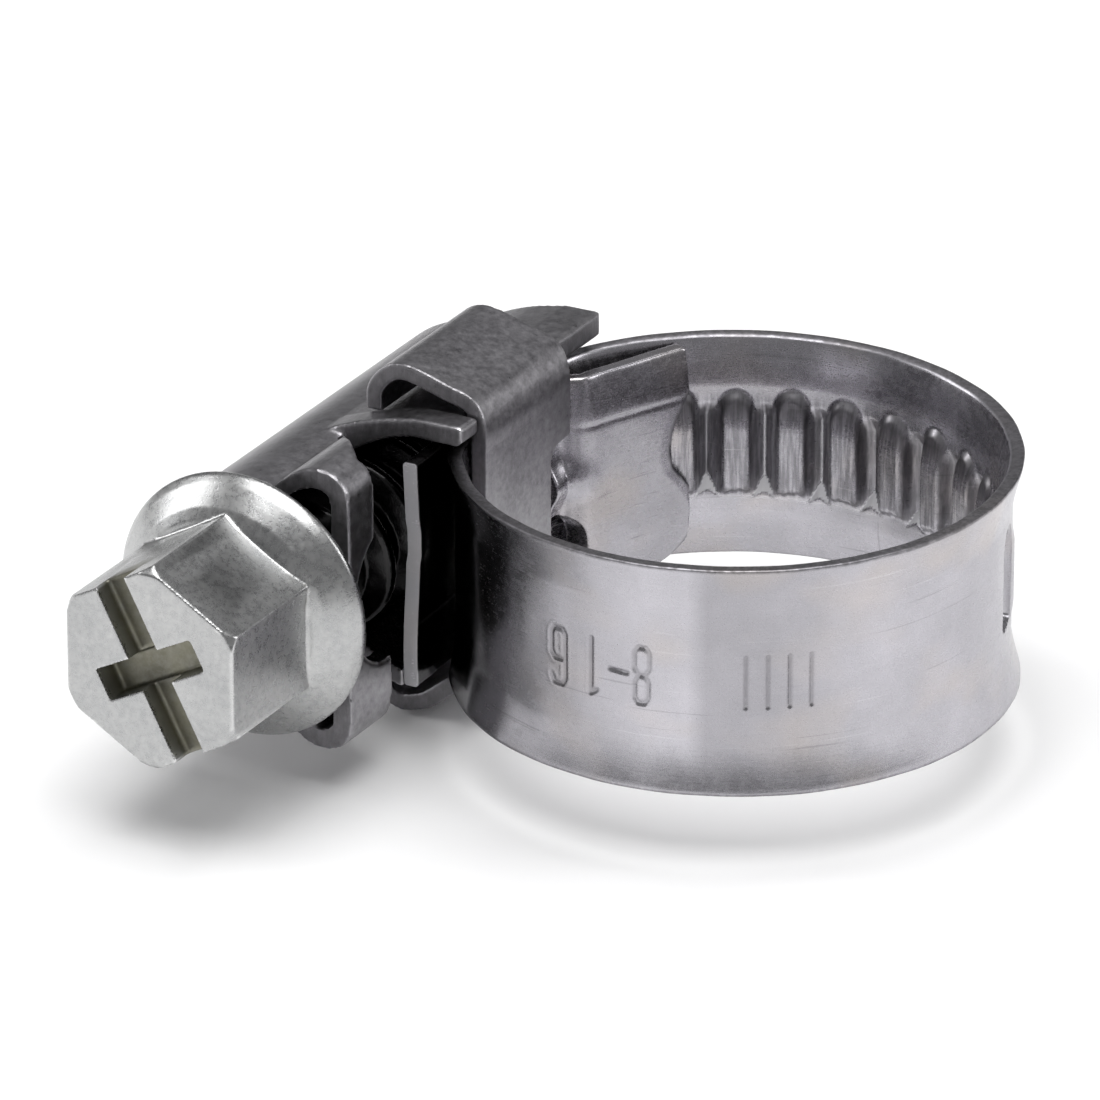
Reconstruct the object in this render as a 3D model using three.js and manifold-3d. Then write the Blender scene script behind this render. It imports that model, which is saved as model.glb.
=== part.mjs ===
// Worm-drive hose clamp, millimetres, +Z up. The ring lies on its edge, so its axis is +Z; the screw runs along Y.
import * as THREE from "three";
import { mergeGeometries, mergeVertices } from "three/addons/utils/BufferGeometryUtils.js";
import Module from "manifold-3d";

const wasm = await Module();
wasm.setup();

// ---- driving dimensions ----
const bandWidth = 9;
const bandThickness = 0.55;
const ringRadius = 9.9;          // middle of the sheet
const lipFlare = 0.42;           // how far each edge of the band leans outwards
const tongueFlare = 0.36;
const lipWidth = 1.9;
const screwX = -13.6;            // screw axis, left of the ring centre
const midZ = bandWidth / 2;
const sheet = 0.75;              // housing and bridge sheet
const tunnelRadius = 4.4;        // outside of the screw tunnel
const threadRadius = 3.25;
const coreRadius = 2.35;
const neckRadius = 2.55;
const threadPitch = 2.19;
const flangeRadius = 5.15;
const hexFlats = 7;
const headEndY = -18.7;
const flangeBackY = -11.95;
const collarFrontY = -11.05;
const tunnelRearY = 5.3;
const bridgeFrontY = -4.6;
const bridgeRearY = 1.6;
const bridgeSheet = 0.65;
const bridgeLegX = -7.85;        // ring side of the bridge leg
const fixedEndX = -8.9;          // middle of the fixed band end under the screw
const seamAngle = 2;             // degrees: the ring bends at this direction and at the opposite one
const tailEndY = -7.15;
const tailGap = 0.15;
const tailTilt = 3.2;            // degrees: the tail leans in towards the ring
const ridgeReach = 9.2;          // the thread ridges stand this far from the ring's axis
const ridgeCount = 10;
const lastRidgeAngle = 131.5;    // the ridge nearest the tongue
const bridgeHalfHeight = 7.018;

const ringOuter = ringRadius + bandThickness / 2 + lipFlare;
const origin = new THREE.Vector3(
  (ringOuter + screwX - flangeRadius) / 2,
  (ringOuter + headEndY) / 2,
  midZ - bridgeHalfHeight,
);

const rad = THREE.MathUtils.degToRad;

const bandSteel = new THREE.MeshStandardMaterial({ color: 0xa9a9ad, roughness: 0.32, metalness: 1 });
const housingSteel = new THREE.MeshStandardMaterial({ color: 0x87868a, roughness: 0.42, metalness: 1 });
const zincSteel = new THREE.MeshStandardMaterial({ color: 0xb9bab4, roughness: 0.38, metalness: 1 });

// ---- solids ----
function solid(geometry) {
  const bare = geometry.index ? geometry.toNonIndexed() : geometry.clone();
  bare.deleteAttribute("normal");
  bare.deleteAttribute("uv");
  const merged = mergeVertices(bare, 1e-4);
  return new wasm.Manifold(
    new wasm.Mesh({
      numProp: 3,
      vertProperties: merged.attributes.position.array,
      triVerts: new Uint32Array(merged.index.array),
    }),
  );
}

function meshOf(name, body, material) {
  const raw = body.getMesh();
  const geometry = new THREE.BufferGeometry();
  geometry.setAttribute("position", new THREE.BufferAttribute(new Float32Array(raw.vertProperties), 3));
  geometry.setIndex(new THREE.BufferAttribute(new Uint32Array(raw.triVerts), 1));
  geometry.computeVertexNormals();
  const mesh = new THREE.Mesh(geometry, material);
  mesh.name = name;
  return mesh;
}

// A profile drawn in X and Z, carried along Y from one station to another.
function alongY(shape, fromY, toY, curveSegments = 10) {
  const geometry = new THREE.ExtrudeGeometry(shape, {
    depth: toY - fromY,
    bevelEnabled: false,
    curveSegments,
  });
  geometry.rotateX(Math.PI / 2);
  geometry.translate(0, toY, 0);
  return solid(geometry);
}

// A plan drawn in X and Y, carried up Z.
function alongZ(shape, fromZ, toZ, curveSegments = 10) {
  const geometry = new THREE.ExtrudeGeometry(shape, {
    depth: toZ - fromZ,
    bevelEnabled: false,
    curveSegments,
  });
  geometry.translate(0, 0, fromZ);
  return solid(geometry);
}

function outline(points) {
  return new THREE.Shape(points.map(([x, y]) => new THREE.Vector2(x, y)));
}

// A sheet of even thickness that follows a centre line drawn in the profile plane.
function sheetProfile(centreLine, thickness, divisions) {
  const line = centreLine.getPoints(divisions);
  const sides = [[], []];
  line.forEach((point, i) => {
    const before = line[Math.max(i - 1, 0)];
    const after = line[Math.min(i + 1, line.length - 1)];
    const along = after.clone().sub(before).normalize();
    const across = new THREE.Vector2(-along.y, along.x).multiplyScalar(thickness / 2);
    sides[0].push(point.clone().add(across));
    sides[1].push(point.clone().sub(across));
  });
  return new THREE.Shape([...sides[0], ...sides[1].reverse()]);
}

// ---- band ----
class RingArc extends THREE.Curve {
  constructor(fromAngle, toAngle) {
    super();
    this.fromAngle = fromAngle;
    this.toAngle = toAngle;
  }
  getPoint(t, target = new THREE.Vector3()) {
    const angle = rad(this.fromAngle + (this.toAngle - this.fromAngle) * t);
    return target.set(ringRadius * Math.cos(angle), ringRadius * Math.sin(angle), midZ);
  }
}

function onRing(angle) {
  return new THREE.Vector3(ringRadius * Math.cos(rad(angle)), ringRadius * Math.sin(rad(angle)), midZ);
}

// The band's section: a flat strip, with both edges leaning outwards when flare is not zero.
function bandSection(flare, width = bandWidth) {
  const half = width / 2;
  const crease = half - lipWidth;
  const t = bandThickness / 2;
  return outline([
    [-half, -t - flare],
    [-crease, -t],
    [crease, -t],
    [half, -t - flare],
    [half, t - flare],
    [crease, t],
    [-crease, t],
    [-half, t - flare],
  ]);
}

function strip(path, flare, steps) {
  return solid(new THREE.ExtrudeGeometry(bandSection(flare), { extrudePath: path, steps, bevelEnabled: false }));
}

const joinAngle = 218;           // where the straight fixed end meets the round of the ring
const seamGap = THREE.MathUtils.radToDeg(tailGap / ringRadius);

// Fixed end, front and right side of the ring: from the bridge to the first bend line.
const joinPoint = onRing(joinAngle);
const joinSlope = rad(joinAngle);
const cornerY = joinPoint.y + (joinPoint.x - fixedEndX) / Math.tan(joinSlope);
const fixedEnd = new THREE.CurvePath();
fixedEnd.add(
  new THREE.LineCurve3(
    new THREE.Vector3(fixedEndX, 1.05, midZ),
    new THREE.Vector3(fixedEndX, cornerY + 0.3, midZ),
  ),
);
fixedEnd.add(
  new THREE.QuadraticBezierCurve3(
    new THREE.Vector3(fixedEndX, cornerY + 0.3, midZ),
    new THREE.Vector3(fixedEndX, cornerY, midZ),
    joinPoint,
  ),
);
const frontSpan = strip(fixedEnd, 0, 24).add(
  strip(new RingArc(joinAngle - 1.5, 360 + seamAngle - seamGap), lipFlare, 84),
);

// Tongue: the fixed end narrows, steps inwards behind the bridge and widens again inside the ring.
const tonguePoints = [
  [fixedEndX, 1.2],
  [fixedEndX, 1.8],
  [fixedEndX + 0.18, 2.3],
  [fixedEndX + 0.65, 2.56],
  [-7.85, 2.85],
  [-7.42, 3.85],
  [-6.68, 5.5],
  [-5.98, 7.04],
];
const tongueLine = new THREE.CatmullRomCurve3(
  tonguePoints.map(([x, y]) => new THREE.Vector3(x, y, midZ)),
  false,
  "catmullrom",
);
const tongueBlank = new THREE.Shape();
tongueBlank.moveTo(1.1, 3.5);
tongueBlank.lineTo(1.8, 3.5);
tongueBlank.quadraticCurveTo(2.55, 3.3, 2.62, 2.4);
tongueBlank.lineTo(2.7, 0.1);
tongueBlank.lineTo(5.2, 0.1);
tongueBlank.quadraticCurveTo(7.3, 0.3, 7.35, 2.6);
tongueBlank.quadraticCurveTo(6.9, 3.6, 6.3, 4.2);
tongueBlank.quadraticCurveTo(5.9, 5.2, 6.5, 6.4);
tongueBlank.quadraticCurveTo(7.3, 7.4, 7.5, 8.9);
tongueBlank.lineTo(1.1, 8.9);
const tongueCut = solid(
  new THREE.ExtrudeGeometry(tongueBlank, { depth: 12, bevelEnabled: false, curveSegments: 8 })
    .rotateX(Math.PI / 2)
    .rotateZ(Math.PI / 2)
    .translate(-14, 0, 0),
);
// The tip is thinned on its outer face, so that it rides over the thread ridges.
const tongueRelief = new THREE.LatheGeometry(
  [
    new THREE.Vector2(ridgeReach - 0.12, 2.3),
    new THREE.Vector2(ridgeReach + 2, 2.3),
    new THREE.Vector2(ridgeReach + 2, 6.9),
    new THREE.Vector2(ridgeReach - 0.12, 6.9),
    new THREE.Vector2(ridgeReach - 0.12, 2.3),
  ],
  96,
).rotateX(Math.PI / 2);
const tongue = strip(tongueLine, -tongueFlare, 24).intersect(tongueCut).subtract(solid(tongueRelief));

// Thread zone: shallow cross grooves pressed into the outside, raised as ridges inside the ring.
function rounded(radius, height) {
  const stick = new THREE.CylinderGeometry(radius, radius, height, 10);
  return stick.rotateX(Math.PI / 2);
}

const grooveStep = THREE.MathUtils.radToDeg(threadPitch / ringRadius);
let backSpan = strip(new RingArc(seamAngle + seamGap, 180 + seamAngle - seamGap), lipFlare, 84);
for (let k = 0; k < ridgeCount; k += 1) {
  const angle = lastRidgeAngle - k * grooveStep;
  const ridge = rounded(0.72, 3.9);
  ridge.translate(ridgeReach + 0.72, 0, midZ + 0.15);
  ridge.rotateZ(rad(angle));
  const groove = rounded(0.42, 3.0);
  groove.translate(ringRadius + bandThickness / 2 + 0.1, 0, midZ);
  groove.rotateZ(rad(angle));
  backSpan = backSpan.add(solid(ridge)).subtract(solid(groove));
}

// Tail: the straight threaded end that runs under the screw.
const bendPoint = onRing(180 + seamAngle);
const tailRun = new THREE.Vector3(Math.sin(rad(tailTilt)), -Math.cos(rad(tailTilt)), 0);
const tailLength = (bendPoint.y - tailEndY) / Math.cos(rad(tailTilt));
let tail = strip(
  new THREE.LineCurve3(
    bendPoint.clone().addScaledVector(tailRun, tailGap),
    bendPoint.clone().addScaledVector(tailRun, tailLength),
  ),
  0,
  1,
);
for (let reach = 1; reach < tailLength - 1; reach += threadPitch) {
  const groove = rounded(0.42, 3.4);
  groove.rotateZ(rad(tailTilt));
  groove.translate(
    bendPoint.x + tailRun.x * reach - bandThickness / 2 - 0.1,
    bendPoint.y + tailRun.y * reach,
    midZ,
  );
  tail = tail.subtract(solid(groove));
}

// ---- screw ----
function turnedAboutScrew(profile, segments) {
  const lathe = new THREE.LatheGeometry(
    profile.map(([r, y]) => new THREE.Vector2(r, y)),
    segments,
  );
  lathe.translate(screwX, 0, midZ);
  return solid(lathe);
}

const hexCorner = hexFlats / Math.sqrt(3);
const hexagon = new THREE.CylinderGeometry(hexCorner, hexCorner, flangeBackY - headEndY - 0.6, 6);
hexagon.translate(screwX, (headEndY + flangeBackY - 0.6) / 2, midZ);
const headCone = turnedAboutScrew(
  [
    [0, headEndY],
    [hexFlats / 2 + 0.3, headEndY],
    [hexCorner + 0.06, headEndY + 0.5],
    [hexCorner + 0.06, flangeBackY],
    [0, flangeBackY],
  ],
  36,
);
const flange = turnedAboutScrew(
  [
    [0, flangeBackY - 1.75],
    [2.9, flangeBackY - 1.75],
    [3.75, flangeBackY - 1.35],
    [4.6, flangeBackY - 0.85],
    [flangeRadius, flangeBackY - 0.5],
    [flangeRadius, flangeBackY - 0.2],
    [flangeRadius - 0.2, flangeBackY],
    [0, flangeBackY],
  ],
  48,
);
const shank = turnedAboutScrew(
  [
    [0, flangeBackY - 0.3],
    [neckRadius, flangeBackY - 0.3],
    [neckRadius, collarFrontY + 0.75],
    [coreRadius, collarFrontY + 1],
    [coreRadius, 4.5],
    [1.5, 5.2],
    [0, 5.2],
  ],
  24,
);

class Helix extends THREE.Curve {
  constructor(radius, fromY, turns) {
    super();
    this.radius = radius;
    this.fromY = fromY;
    this.turns = turns;
  }
  getPoint(t, target = new THREE.Vector3()) {
    const angle = 2 * Math.PI * this.turns * t;
    return target.set(
      screwX + this.radius * Math.sin(angle),
      this.fromY + threadPitch * this.turns * t,
      midZ + this.radius * Math.cos(angle),
    );
  }
}

const ridgeRadius = 0.55;
const ridgeSection = new THREE.Shape();
ridgeSection.absarc(0, 0, ridgeRadius, 0, 2 * Math.PI);
const threadRidge = new THREE.ExtrudeGeometry(ridgeSection, {
  extrudePath: new Helix(threadRadius - ridgeRadius, collarFrontY + 1.4, 6.2),
  steps: 106,
  curveSegments: 4,
  bevelEnabled: false,
});

const slotAngle = rad(62);
function recess(length, width, depth, angle) {
  const cutter = new THREE.BoxGeometry(length, depth * 2, width);
  return cutter.rotateY(angle).translate(screwX, headEndY, midZ);
}
const longSlot = recess(12, 1.35, 0.9, slotAngle);
const crossSlot = recess(4.4, 1.25, 1.2, slotAngle + Math.PI / 2);

const screw = solid(hexagon)
  .intersect(headCone)
  .add(flange)
  .add(shank)
  .add(solid(threadRidge))
  .subtract(solid(longSlot))
  .subtract(solid(crossSlot));

// ---- housing ----

// Collar: a tall closed loop of sheet just behind the flange.
function collarLoop(inset) {
  const shape = new THREE.Shape();
  const wall = 3.78 - inset;
  const lowWall = 3.83 - inset;
  const top = 5.45 - inset;
  const low = 5.75 - inset;
  const lobe = 1.35 - inset;
  const back = tunnelRadius - inset;
  shape.moveTo(screwX + wall, midZ + top - lobe);
  shape.quadraticCurveTo(screwX + wall, midZ + top, screwX + 2.4, midZ + top);
  shape.quadraticCurveTo(screwX + 1.5, midZ + top - 0.1, screwX + 0.6, midZ + back - 0.06);
  shape.absarc(screwX, midZ, back, rad(82), rad(278), false);
  shape.quadraticCurveTo(screwX + 1.5, midZ - low + 0.1, screwX + 2.4, midZ - low);
  shape.quadraticCurveTo(screwX + lowWall, midZ - low, screwX + lowWall, midZ - low + lobe);
  return shape;
}

const collarShape = collarLoop(0);
collarShape.holes.push(collarLoop(sheet + 0.05));
let collar = alongY(collarShape, collarFrontY, -5.9, 12);
// The loop is cut back on a slant above, short below, and hollowed where the thread runs.
const topSlant = outline([
  [screwX + 5, -9.25],
  [screwX + 3.1, -9.25],
  [screwX + 0.5, -6.3],
  [screwX + 0.5, -5],
  [screwX + 5, -5],
]);
const lowSlant = outline([
  [screwX + 5, -8.15],
  [screwX + 2.5, -8.15],
  [screwX + 0.5, -6.3],
  [screwX + 0.5, -5],
  [screwX + 5, -5],
]);
collar = collar.subtract(alongZ(topSlant, midZ, midZ + 8)).subtract(alongZ(lowSlant, midZ - 8, midZ));
const hollow = new THREE.CylinderGeometry(2.7, 2.7, 3, 32).rotateZ(Math.PI / 2);
hollow.scale(1, 0.8, 1);
hollow.translate(screwX + 3.3, -8.45, midZ - 0.2);
collar = collar.subtract(solid(hollow));

// Tunnel: two thirds of a tube over the screw.
const tunnelShape = new THREE.Shape();
tunnelShape.absarc(screwX, midZ, tunnelRadius, rad(84), rad(276), false);
tunnelShape.absarc(screwX, midZ, tunnelRadius - sheet, rad(276), rad(84), true);
const tunnel = alongY(tunnelShape, collarFrontY, tunnelRearY, 28);

// Shoulder: the tunnel's upper edge runs out over the edge of the band.
function shoulderSheet(endX, rise = 0, lip = 0) {
  const top = new THREE.Shape();
  top.moveTo(screwX - 0.4, midZ + tunnelRadius - 0.04);
  top.quadraticCurveTo(screwX + 1.0, midZ + 4.85 + rise, screwX + 2.4, midZ + 5.2 + rise);
  top.lineTo(screwX + 3.4, midZ + 5.42 + rise);
  top.lineTo(endX, midZ + 5.5 + rise);
  top.lineTo(endX, midZ + 4.95 + rise - lip);
  top.lineTo(endX - 0.25, midZ + 4.72 + rise - lip);
  top.lineTo(screwX + 3.3, midZ + 4.66 + rise);
  top.quadraticCurveTo(screwX + 2.0, midZ + 4.4 + rise, screwX + 0.9, midZ + 3.8);
  top.lineTo(screwX - 0.4, midZ + 3.7);
  return top;
}
const shoulderFront = alongY(shoulderSheet(-8.1), -5.9, bridgeFrontY - 0.1, 8);
const shoulderMiddle = alongY(shoulderSheet(-8.8), bridgeFrontY - 0.2, bridgeRearY + 0.2, 8);
const shoulderRear = alongY(shoulderSheet(-8.7, 0.45, 0.35), bridgeRearY + 0.1, tunnelRearY, 8);

// Lower edge: a shorter turn of the same sheet.
const lowerShape = new THREE.Shape();
lowerShape.moveTo(screwX - 0.4, midZ - tunnelRadius + 0.04);
lowerShape.lineTo(screwX - 0.4, midZ - 3.7);
lowerShape.lineTo(screwX + 0.9, midZ - 3.75);
lowerShape.quadraticCurveTo(screwX + 1.9, midZ - 4.3, screwX + 2.9, midZ - 4.65);
lowerShape.lineTo(screwX + 2.9, midZ - 5.35);
lowerShape.quadraticCurveTo(screwX + 1.4, midZ - 5.0, screwX + 0.6, midZ - 4.4);
const lowerEdge = alongY(lowerShape, -5.9, tunnelRearY, 8);

const housing = tunnel
  .add(collar)
  .add(shoulderFront)
  .add(shoulderMiddle)
  .add(shoulderRear)
  .add(lowerEdge);

// ---- bridge ----
// A strap that hooks over the shoulder, passes inside the ring under both band layers and hooks round below.
const legX = bridgeLegX - bridgeSheet / 2;
const bridgeLine = new THREE.Path();
bridgeLine.moveTo(screwX + 1.0, midZ + 4.95);
bridgeLine.splineThru([
  new THREE.Vector2(screwX + 1.05, midZ + 5.85),
  new THREE.Vector2(screwX + 1.75, midZ + 6.6),
  new THREE.Vector2(screwX + 2.6, midZ + 6.68),
  new THREE.Vector2(screwX + 4.0, midZ + 6.3),
  new THREE.Vector2(bridgeLegX - 0.7, midZ + 5.98),
  new THREE.Vector2(legX, midZ + 5.1),
  new THREE.Vector2(legX, midZ + 4.2),
]);
bridgeLine.lineTo(legX, midZ - 3.4);
bridgeLine.splineThru([
  new THREE.Vector2(legX, midZ - 4.45),
  new THREE.Vector2(bridgeLegX - 0.78, midZ - 5.1),
  new THREE.Vector2(-9.35, midZ - 5.5),
  new THREE.Vector2(-10.25, midZ - 6.25),
  new THREE.Vector2(-10.8, midZ - 6.54),
  new THREE.Vector2(-11.7, midZ - 6.68),
  new THREE.Vector2(-12.5, midZ - 6.0),
  new THREE.Vector2(-12.65, midZ - 4.95),
]);
const bridgeBlank = alongY(sheetProfile(bridgeLine, bridgeSheet, 4), bridgeFrontY, bridgeRearY);
const legNotch = outline([
  [0.2, 0.6],
  [0.2, 6.6],
  [0.55, 7.0],
  [3, 7.3],
  [3, 0.6],
]);
const legCut = solid(
  new THREE.ExtrudeGeometry(legNotch, { depth: 1.6, bevelEnabled: false })
    .rotateX(Math.PI / 2)
    .rotateZ(Math.PI / 2)
    .translate(bridgeLegX - 1.2, 0, 0),
);
const bridge = bridgeBlank.subtract(legCut);

// ---- assembly ----
const group = new THREE.Group();
group.name = "hose_clamp";
const pieces = [
  ["housing", housing, housingSteel],
  ["bridge", bridge, housingSteel],
  ["screw", screw, zincSteel],
  ["band_front", frontSpan, bandSteel],
  ["band_tongue", tongue, bandSteel],
  ["band_back", backSpan, bandSteel],
  ["band_tail", tail, bandSteel],
];
for (const [name, body, material] of pieces) {
  const mesh = meshOf(name, body, material);
  mesh.position.copy(origin).negate();
  group.add(mesh);
}

export default group;
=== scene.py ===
"""Worm-drive hose clamp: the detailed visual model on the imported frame, in metres."""

import math

import bmesh
import bpy
import numpy as np
from mathutils import Matrix, Vector


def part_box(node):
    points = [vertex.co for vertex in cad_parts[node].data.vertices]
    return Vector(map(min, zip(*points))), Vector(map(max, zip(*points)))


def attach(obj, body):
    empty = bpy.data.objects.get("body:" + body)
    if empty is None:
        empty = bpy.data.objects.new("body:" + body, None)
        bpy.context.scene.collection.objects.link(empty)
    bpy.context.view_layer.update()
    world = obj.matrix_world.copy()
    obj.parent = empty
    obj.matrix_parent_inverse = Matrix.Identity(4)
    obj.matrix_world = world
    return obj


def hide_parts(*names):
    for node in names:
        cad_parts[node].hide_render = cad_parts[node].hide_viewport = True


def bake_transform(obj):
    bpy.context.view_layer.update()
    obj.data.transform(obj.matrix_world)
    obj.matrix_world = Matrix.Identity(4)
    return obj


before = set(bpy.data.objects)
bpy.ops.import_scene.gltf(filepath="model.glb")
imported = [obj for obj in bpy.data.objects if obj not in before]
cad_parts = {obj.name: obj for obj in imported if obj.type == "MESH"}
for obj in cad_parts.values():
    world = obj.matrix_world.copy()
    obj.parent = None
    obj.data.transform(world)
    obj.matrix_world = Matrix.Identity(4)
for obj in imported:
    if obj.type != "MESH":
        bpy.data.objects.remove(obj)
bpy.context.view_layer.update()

# ---- dimensions: millimetres about the ring's axis, z = 0 at the band's lower edge ----
BAND_WIDTH = 9.0
BAND_THICK = 0.55
RING_R = 9.9
LIP_FLARE = 0.42
LIP_WIDTH = 1.9
SCREW_X = -13.6
MID_Z = 4.5
SHEET = 0.75
TUNNEL_R = 4.4
PITCH = 2.19
FLANGE_R = 5.15
HEX_FLATS = 7.0
HEAD_Y = -18.7
FLANGE_BACK_Y = -11.95
COLLAR_Y = -11.05
COLLAR_REAR_Y = -5.9
TUNNEL_REAR_Y = 5.3
BRIDGE_FRONT_Y = -4.6
BRIDGE_REAR_Y = 1.6
BRIDGE_SHEET = 0.65
LEG_X = -7.85
FIXED_X = -8.9
SEAM_DEG = 2.0
TAIL_END_Y = -7.15
TAIL_TILT = 3.2
RIDGE_REACH = 9.2
JOIN_DEG = 218.0
SPLIT_DEG = 85.0
LAST_PAD_DEG = 131.5
PAD_COUNT = 10
SLOT_WIDTH = 1.35
SLOT_DEPTH = 0.85
CROSS_WIDTH = 1.25
CROSS_DEPTH = 1.05
TONGUE_FLARE = 0.36
SHARP_DEG = 35
NEAR_SPLIT = 14                  # degrees past the split where a ridge still touches the other piece

# The screw's CAD box ties these millimetres to the row frame.
low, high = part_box("screw")
SHIFT = np.array(
    [
        500 * (low[0] + high[0]) - SCREW_X,
        1000 * low[1] - HEAD_Y,
        500 * (low[2] + high[2]) - MID_Z,
    ]
)


def row(points):
    """Millimetres about the ring's axis to metres in the row frame."""
    return (np.asarray(points, float) + SHIFT) * 0.001


def smoothstep(edge0, edge1, x):
    t = np.clip((np.asarray(x, float) - edge0) / (edge1 - edge0), 0, 1)
    return t * t * (3 - 2 * t)


# ---- meshes ----
def scratch(verts, faces):
    """A temporary object in millimetres, its faces turned outwards."""
    mesh = bpy.data.meshes.new("scratch")
    mesh.from_pydata([tuple(v) for v in verts], [], faces)
    bm = bmesh.new()
    bm.from_mesh(mesh)
    bmesh.ops.remove_doubles(bm, verts=bm.verts, dist=1e-5)
    bmesh.ops.recalc_face_normals(bm, faces=bm.faces)
    bm.to_mesh(mesh)
    bm.free()
    obj = bpy.data.objects.new("scratch", mesh)
    bpy.context.scene.collection.objects.link(obj)
    return obj


def read(obj):
    """Vertices and faces of obj with its modifiers applied."""
    graph = bpy.context.evaluated_depsgraph_get()
    mesh = bpy.data.meshes.new_from_object(obj.evaluated_get(graph))
    verts = np.empty(len(mesh.vertices) * 3)
    mesh.vertices.foreach_get("co", verts)
    faces = [tuple(p.vertices) for p in mesh.polygons]
    bpy.data.meshes.remove(mesh)
    return verts.reshape(-1, 3), faces


def discard(obj):
    mesh = obj.data
    bpy.data.objects.remove(obj)
    bpy.data.meshes.remove(mesh)


def prism(outline, low, high, axis="y"):
    """A plan carried along an axis: (x, z) along y, (x, y) along z, (y, z) along x."""
    n = len(outline)
    verts = []
    for level in (low, high):
        for a, b in outline:
            verts.append({"y": (a, level, b), "z": (a, b, level), "x": (level, a, b)}[axis])
    faces = [tuple(range(n)), tuple(range(n, 2 * n))]
    faces += [(i, (i + 1) % n, n + (i + 1) % n, n + i) for i in range(n)]
    return scratch(verts, faces)


def loft(rings, caps=True):
    """Verts and faces of a row of closed loops, joined in order."""
    rings = np.asarray(rings, float)
    m, k = rings.shape[:2]
    faces = []
    for i in range(m - 1):
        for j in range(k):
            j2 = (j + 1) % k
            faces.append((i * k + j, i * k + j2, (i + 1) * k + j2, (i + 1) * k + j))
    if caps:
        faces.append(tuple(range(k - 1, -1, -1)))
        faces.append(tuple((m - 1) * k + j for j in range(k)))
    return rings.reshape(-1, 3), faces


def lathe(profile, segments=96):
    """A profile of (radius, y) turned about the screw's axis, closed at both ends."""
    rings = []
    for r, y in profile:
        a = np.linspace(0, 2 * math.pi, segments, endpoint=False)
        ring = np.stack([SCREW_X + r * np.sin(a), np.full(segments, y), MID_Z + r * np.cos(a)], 1)
        rings.append(ring)
    return scratch(*loft(rings))


def fuse(bodies, cutters=(), voxel=0.08, smooth=2, keep=0.4):
    """Bodies cut by cutters and melted into one skin with slightly rounded edges."""
    verts, faces = [], []
    for body in bodies:
        for cutter in cutters:
            cut = body.modifiers.new("cut", "BOOLEAN")
            cut.operation = "DIFFERENCE"
            cut.solver = "EXACT"
            cut.object = cutter
        v, f = read(body)
        base = sum(len(x) for x in verts)
        verts.append(v)
        faces += [tuple(i + base for i in face) for face in f]
    joined = scratch(np.concatenate(verts), faces)
    skin = joined.modifiers.new("skin", "REMESH")
    skin.mode = "VOXEL"
    skin.voxel_size = voxel
    if smooth:
        soften = joined.modifiers.new("soften", "SMOOTH")
        soften.factor = 0.5
        soften.iterations = smooth
    if keep < 1:
        thin = joined.modifiers.new("thin", "DECIMATE")
        thin.ratio = keep
    made = read(joined)
    for obj in [joined, *bodies, *cutters]:
        discard(obj)
    return made


def neighbours(count, faces):
    pairs = []
    for face in faces:
        pairs += zip(face, face[1:] + face[:1])
    e = np.array(pairs)
    e = np.concatenate([e, e[:, ::-1]])
    return e[:, 0], e[:, 1], np.bincount(e[:, 0], minlength=count).clip(1)[:, None]


def spread(values, links, rounds):
    a, b, degree = links
    for _ in range(rounds):
        total = np.zeros_like(values)
        np.add.at(total, a, values[b])
        values = total / degree
    return values


def piece(name, made, body, slot, replaced, material, strip=None, **masks):
    """A finished object from millimetre vertices, with its masks, on its body."""
    verts, faces = made
    mesh = bpy.data.meshes.new(name)
    mesh.from_pydata([tuple(v) for v in row(verts)], [], faces)
    mesh.update()
    mesh.shade_smooth()
    mesh.set_sharp_from_angle(angle=math.radians(SHARP_DEG))
    obj = bpy.data.objects.new(name, mesh)
    bpy.context.scene.collection.objects.link(obj)
    count = len(verts)
    normals = np.empty(count * 3)
    mesh.vertices.foreach_get("normal", normals)
    normals = normals.reshape(-1, 3)
    links = neighbours(count, faces)
    bulge = ((verts - spread(verts, links, 3)) * normals).sum(1, keepdims=True)
    bulge = spread(bulge, links, 1)[:, 0]
    values = {key: make(verts, normals) for key, make in masks.items()}
    # Convex edges painted lighter, part edge wear and part painted highlight; concave hollows marked to be
    # painted darker.
    rubbed = smoothstep(0.012, 0.05, bulge) * (1 - 0.8 * values.get("thread", 0))
    values["wear"] = np.maximum(rubbed, values.get("wear", 0))
    values["dent"] = smoothstep(0.01, 0.045, -bulge)
    for key, value in values.items():
        layer = mesh.attributes.new(key, "FLOAT", "POINT")
        layer.data.foreach_set("value", np.asarray(value, np.float32))
    if strip is not None:
        layer = mesh.attributes.new("strip", "FLOAT_VECTOR", "POINT")
        layer.data.foreach_set("vector", np.asarray(strip, np.float32).ravel())
    mesh.materials.append(material)
    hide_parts(*replaced)
    if body:
        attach(obj, body)
    return obj


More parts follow.
